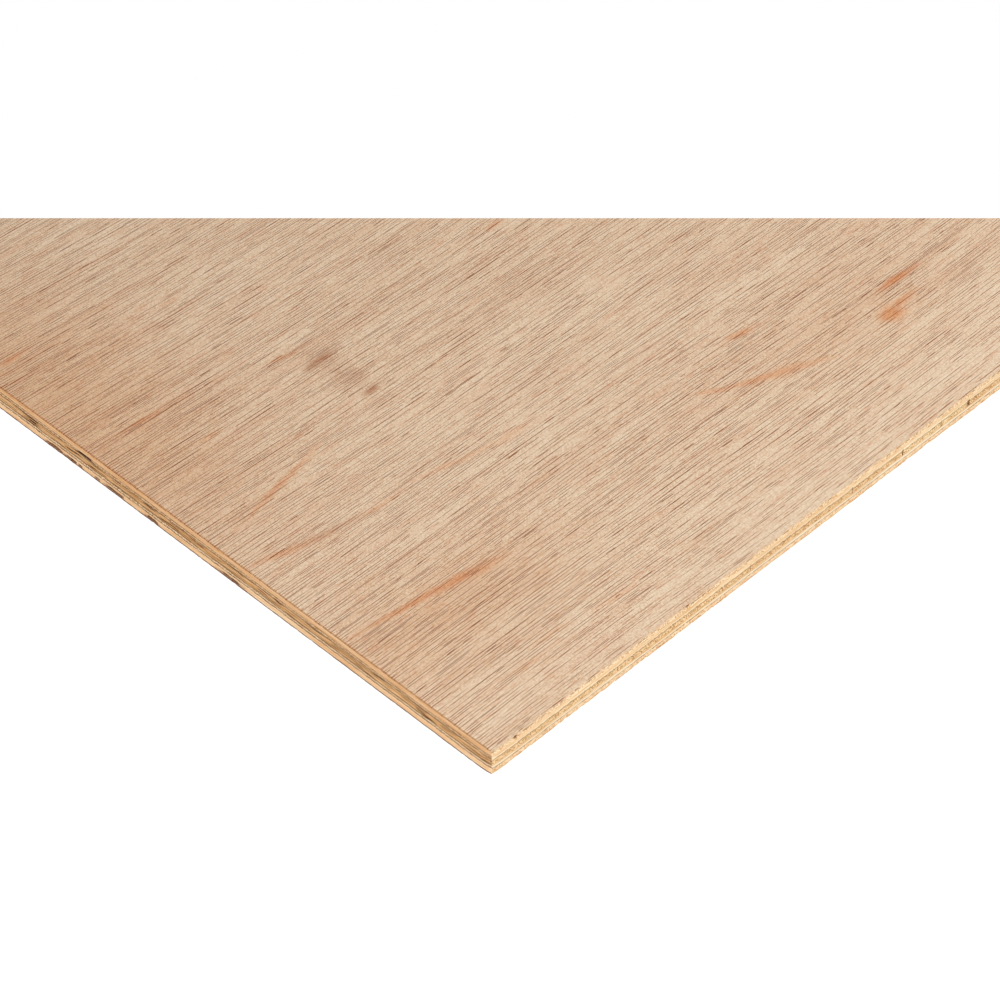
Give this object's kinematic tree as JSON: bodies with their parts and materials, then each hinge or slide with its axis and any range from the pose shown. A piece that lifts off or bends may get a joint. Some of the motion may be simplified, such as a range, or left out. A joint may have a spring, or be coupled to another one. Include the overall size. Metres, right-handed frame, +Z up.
{
  "type": "plywood sheet",
  "caption": "Full-size flat plywood sheet with thin hardwood veneers over thicker cross-laid inner plies and a jointed core, for cutting, sheathing, flooring and joinery.",
  "frame": {"origin": "on the floor, under the middle of the sheet", "axes": "+X along the length and the face grain, +Y across the width, +Z up through the thickness to the face"},
  "size_m": [2.44, 1.22, 0.018],
  "materials": {
    "face_veneer": "rotary-cut tan hardwood veneer, lightly sanded, dull",
    "crossband": "pale sawn inner ply",
    "longband": "cream sawn inner ply",
    "core": "golden brown sawn core strips",
    "back_veneer": "unsanded reddish hardwood veneer, dull"
  },
  "bodies": {
    "root": {"face_veneer": "face_veneer", "upper_crossband": "crossband", "upper_longband": "longband", "centre_core": "core", "lower_longband": "longband", "lower_crossband": "crossband", "back_veneer": "back_veneer"}
  },
  "joints": []
}
